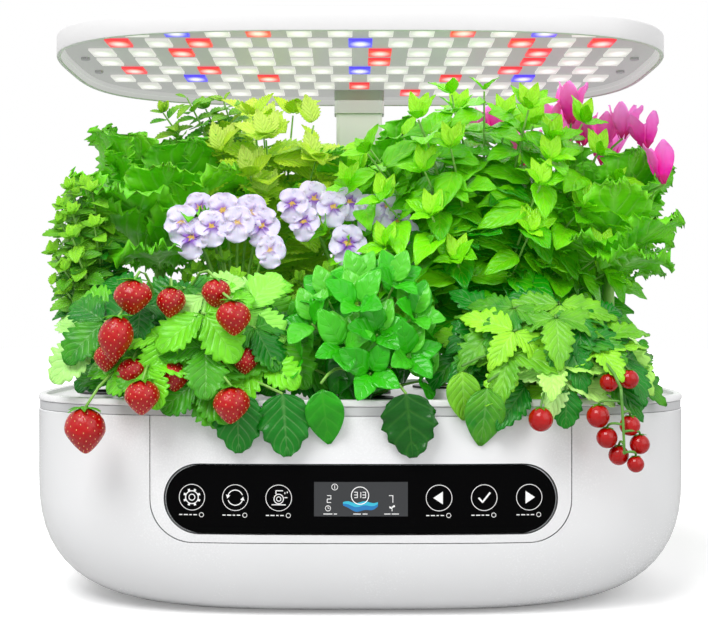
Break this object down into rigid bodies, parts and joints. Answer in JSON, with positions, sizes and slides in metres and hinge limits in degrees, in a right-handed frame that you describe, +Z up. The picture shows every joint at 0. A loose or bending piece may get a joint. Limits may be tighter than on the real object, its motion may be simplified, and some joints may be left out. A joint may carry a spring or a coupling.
{
  "type": "countertop hydroponic garden",
  "caption": "Rounded white water tank with a black touch panel, a planted deck, a telescopic post and an oval LED lamp head that slides up over the plants.",
  "frame": {"origin": "on the table, under the middle of the base", "axes": "+Z up, +X to the right and -Y out of the front, where the touch panel is"},
  "size_m": [0.4192, 0.2753, 0.3585],
  "materials": {
    "white_shell": "moulded, satin gloss",
    "white_deck": "moulded, satin gloss",
    "grey_rim": "fine matt",
    "panel_black": "polished black, printed from behind",
    "film": "amber film",
    "screen": "dark display glass",
    "circuit_board": "solder mask",
    "jack_black": "plain black",
    "foot_rubber": "soft, matt",
    "screw_steel": "zinc plated",
    "basket_black": "fine matt",
    "sponge": "open peat foam",
    "post_white": "powder coated",
    "post_grey": "fine matt",
    "pump_black": "fine matt",
    "pump_hose": "translucent silicone",
    "pump_white": "plain",
    "magnet": "sintered ferrite",
    "float_orange": "closed foam",
    "lamp_white": "satin white",
    "led_board_white": "white solder mask",
    "led_white": "diffuser, lit",
    "led_red": "diffuser, lit",
    "led_blue": "diffuser, lit",
    "leaf_green": "living leaf",
    "leaf_dark": "living leaf",
    "leaf_lime": "living leaf",
    "petal_violet": "petal",
    "petal_pink": "petal",
    "strawberry_red": "ripe fruit skin",
    "tomato_red": "ripe fruit skin"
  },
  "bodies": {
    "base": {"base_shell": "white_shell", "front_fascia": "white_shell", "control_panel": "panel_black", "touch_film": "film", "lcd_module": "screen", "control_board": "circuit_board", "dc_jack": "jack_black", "feet": "foot_rubber", "base_screws": "screw_steel", "water_tank": "grey_rim", "grow_deck": "white_deck", "pod_baskets": "basket_black", "grow_sponges": "sponge", "post_socket": "post_grey", "post_outer": "post_white", "post_collar": "post_grey", "fill_lid_pin": "screw_steel", "pump_body": "pump_black", "pump_cover": "pump_black", "pump_shaft": "screw_steel", "pump_spout": "pump_hose", "pump_feet": "foot_rubber", "float_guide": "grey_rim", "strawberry_plant": "leaf_green", "strawberries": "strawberry_red", "basil_front": "leaf_dark", "tomato_vine": "leaf_green", "tomatoes": "tomato_red", "herb_left": "leaf_green", "pansy_left": "petal_violet", "pansy_middle": "petal_violet", "basil_tall": "leaf_lime", "lettuce_right": "leaf_green", "lettuce_left": "leaf_green", "lemon_balm": "leaf_lime", "lettuce_middle": "leaf_green", "cyclamen": "petal_pink"},
    "lamp": {"post_inner": "post_white", "post_slider": "pump_black", "post_head": "post_grey", "lamp_housing": "lamp_white", "led_board": "led_board_white", "leds_white": "led_white", "leds_red": "led_red", "leds_blue": "led_blue", "lamp_screws": "screw_steel"},
    "lid": {"fill_lid": "white_deck"},
    "impeller": {"pump_impeller": "pump_white", "pump_rotor": "magnet"},
    "float": {"level_float": "float_orange"}
  },
  "joints": [
    {"name": "lamp_height", "type": "slide", "parent": "base", "child": "lamp", "axis": [0, 0, 1], "range_m": [0, 0.11]},
    {"name": "fill_lid_hinge", "type": "hinge", "parent": "base", "child": "lid", "pos_m": [0.105, 0.109, 0.131], "axis": [-1, 0, 0], "range_deg": [0, 100]},
    {"name": "pump_spin", "type": "hinge", "parent": "base", "child": "impeller", "pos_m": [0.112, 0.012, 0.036], "axis": [0, 1, 0], "continuous": true},
    {"name": "float_slide", "type": "slide", "parent": "base", "child": "float", "axis": [0, 0, 1], "range_m": [0, 0.027]}
  ]
}
